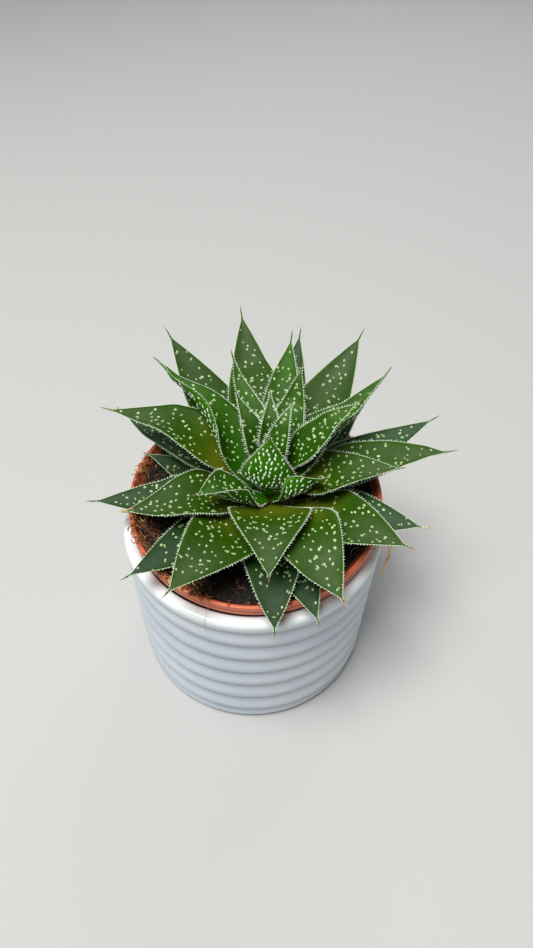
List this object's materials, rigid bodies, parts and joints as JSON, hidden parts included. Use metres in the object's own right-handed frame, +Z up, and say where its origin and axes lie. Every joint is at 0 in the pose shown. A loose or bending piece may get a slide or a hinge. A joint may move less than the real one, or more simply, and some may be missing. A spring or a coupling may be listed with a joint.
{
  "type": "potted lace aloe",
  "caption": "Potted lace aloe: a rosette of toothed, awned leaves in a tilted growing pot, standing in a ribbed round white cachepot.",
  "frame": {"origin": "centre of the cachepot's flat base", "axes": "+Z up, +X to the right and -Y towards the front, the side of the pot that the picture shows"},
  "size_m": [0.1724, 0.1529, 0.1598],
  "materials": {
    "white_glaze": "softly glossy white glaze with a cool grey cast",
    "terracotta_plastic": "satin, terracotta-coloured moulded plastic",
    "peat": "rough, dark, crumbly peat with coir fibres",
    "stem_skin": "dull pale green fused leaf sheaths",
    "leaf_lower": "waxy dark bluish green",
    "leaf_spreading": "waxy dark green, olive at the base",
    "leaf_inner": "waxy bright green"
  },
  "bodies": {
    "root": {"cachepot": "white_glaze", "nursery_pot": "terracotta_plastic", "soil": "peat", "stem": "stem_skin", "leaf_01": "leaf_lower", "leaf_02": "leaf_lower", "leaf_03": "leaf_lower", "leaf_04": "leaf_lower", "leaf_05": "leaf_lower", "leaf_06": "leaf_lower", "leaf_07": "leaf_lower", "leaf_08": "leaf_lower", "leaf_09": "leaf_lower", "leaf_10": "leaf_lower", "leaf_11": "leaf_lower", "leaf_12": "leaf_lower", "leaf_13": "leaf_spreading", "leaf_14": "leaf_spreading", "leaf_15": "leaf_spreading", "leaf_16": "leaf_spreading", "leaf_17": "leaf_spreading", "leaf_18": "leaf_spreading", "leaf_19": "leaf_spreading", "leaf_20": "leaf_spreading", "leaf_21": "leaf_spreading", "leaf_22": "leaf_spreading", "leaf_23": "leaf_spreading", "leaf_24": "leaf_inner", "leaf_25": "leaf_inner", "leaf_26": "leaf_inner", "leaf_27": "leaf_inner", "leaf_28": "leaf_inner", "leaf_29": "leaf_inner", "leaf_30": "leaf_inner", "leaf_31": "leaf_inner", "leaf_32": "leaf_inner", "leaf_33": "leaf_inner", "leaf_34": "leaf_inner", "leaf_35": "leaf_inner", "leaf_36": "leaf_inner"}
  },
  "joints": []
}
